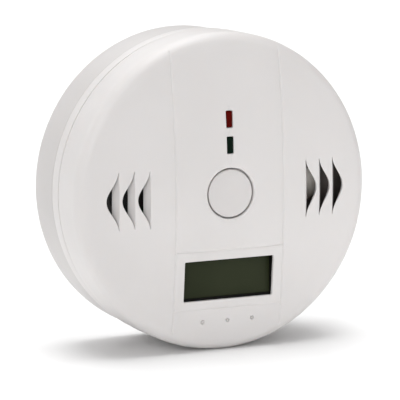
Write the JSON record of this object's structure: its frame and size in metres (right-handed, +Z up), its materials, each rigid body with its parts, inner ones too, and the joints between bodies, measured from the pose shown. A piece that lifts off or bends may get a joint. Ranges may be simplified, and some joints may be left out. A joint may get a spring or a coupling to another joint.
{
  "type": "carbon monoxide alarm",
  "caption": "Round domed gas alarm with a display window, louvred slots, two indicator lamps and a test button, on a twist-off wall base.",
  "frame": {"origin": "centre of the mounting base's rear face, which lies on the wall", "axes": "+Z up, +X to the viewer's right, the face looks towards -Y and +Y points into the wall"},
  "size_m": [0.1, 0.0409, 0.1],
  "materials": {
    "case_white": "fine moulded satin ABS",
    "button_white": "satin moulded ABS",
    "base_white": "satin moulded ABS",
    "black_plastic": "satin black moulding",
    "board_green": "solder mask over glass fibre board",
    "display_glass": "dark unlit liquid crystal display with a satin polariser",
    "diffuser_white": "translucent light guide",
    "red_lens": "tinted epoxy",
    "green_lens": "tinted epoxy",
    "steel": "nickel plated",
    "sensor_plastic": "dark moulded housing",
    "buzzer_plastic": "dark brown-grey moulding",
    "carbon_cloth": "carbon filter cloth",
    "cell_sleeve": "printed shrink sleeve without lettering",
    "lead_sleeve": "soft lead insulation",
    "chip_black": "moulded epoxy",
    "capacitor_sleeve": "shrink sleeve",
    "coil_copper": "enamelled copper winding"
  },
  "bodies": {
    "wall_base": {"mounting_base": "base_white"},
    "alarm_body": {"rear_shell": "case_white", "battery_box": "case_white", "front_cover": "case_white", "tact_switch": "black_plastic", "main_board": "board_green", "lcd_frame": "black_plastic", "lcd_glass": "display_glass", "lcd_backlight": "diffuser_white", "lcd_pins": "steel", "red_led": "red_lens", "green_led": "green_lens", "co_sensor": "sensor_plastic", "sensor_filter": "carbon_cloth", "buzzer_housing": "buzzer_plastic", "piezo_disc": "steel", "aa_cell_1": "cell_sleeve", "aa_cell_2": "cell_sleeve", "aa_cell_3": "cell_sleeve", "battery_springs": "steel", "battery_contacts": "steel", "battery_wires": "lead_sleeve", "mcu": "chip_black", "crystal": "steel", "capacitors": "capacitor_sleeve", "resistors": "chip_black", "buzzer_coil": "coil_copper", "case_screws": "steel", "board_screws": "steel"},
    "button": {"test_button": "button_white"},
    "plunger": {"switch_plunger": "black_plastic"}
  },
  "joints": [
    {"name": "body_twist", "type": "hinge", "parent": "wall_base", "child": "alarm_body", "pos_m": [0, 0, 0], "axis": [0, -1, 0], "range_deg": [0, 25]},
    {"name": "button_press", "type": "slide", "parent": "alarm_body", "child": "button", "axis": [0, 1, 0], "range_m": [0, 0.0005], "stiffness_N_per_m": 800},
    {"name": "plunger_press", "type": "slide", "parent": "alarm_body", "child": "plunger", "axis": [0, 1, 0], "range_m": [0, 0.0005], "stiffness_N_per_m": 800}
  ],
  "couplings": [
    {"joint": "plunger_press", "follows": "button_press", "ratio": 1}
  ]
}
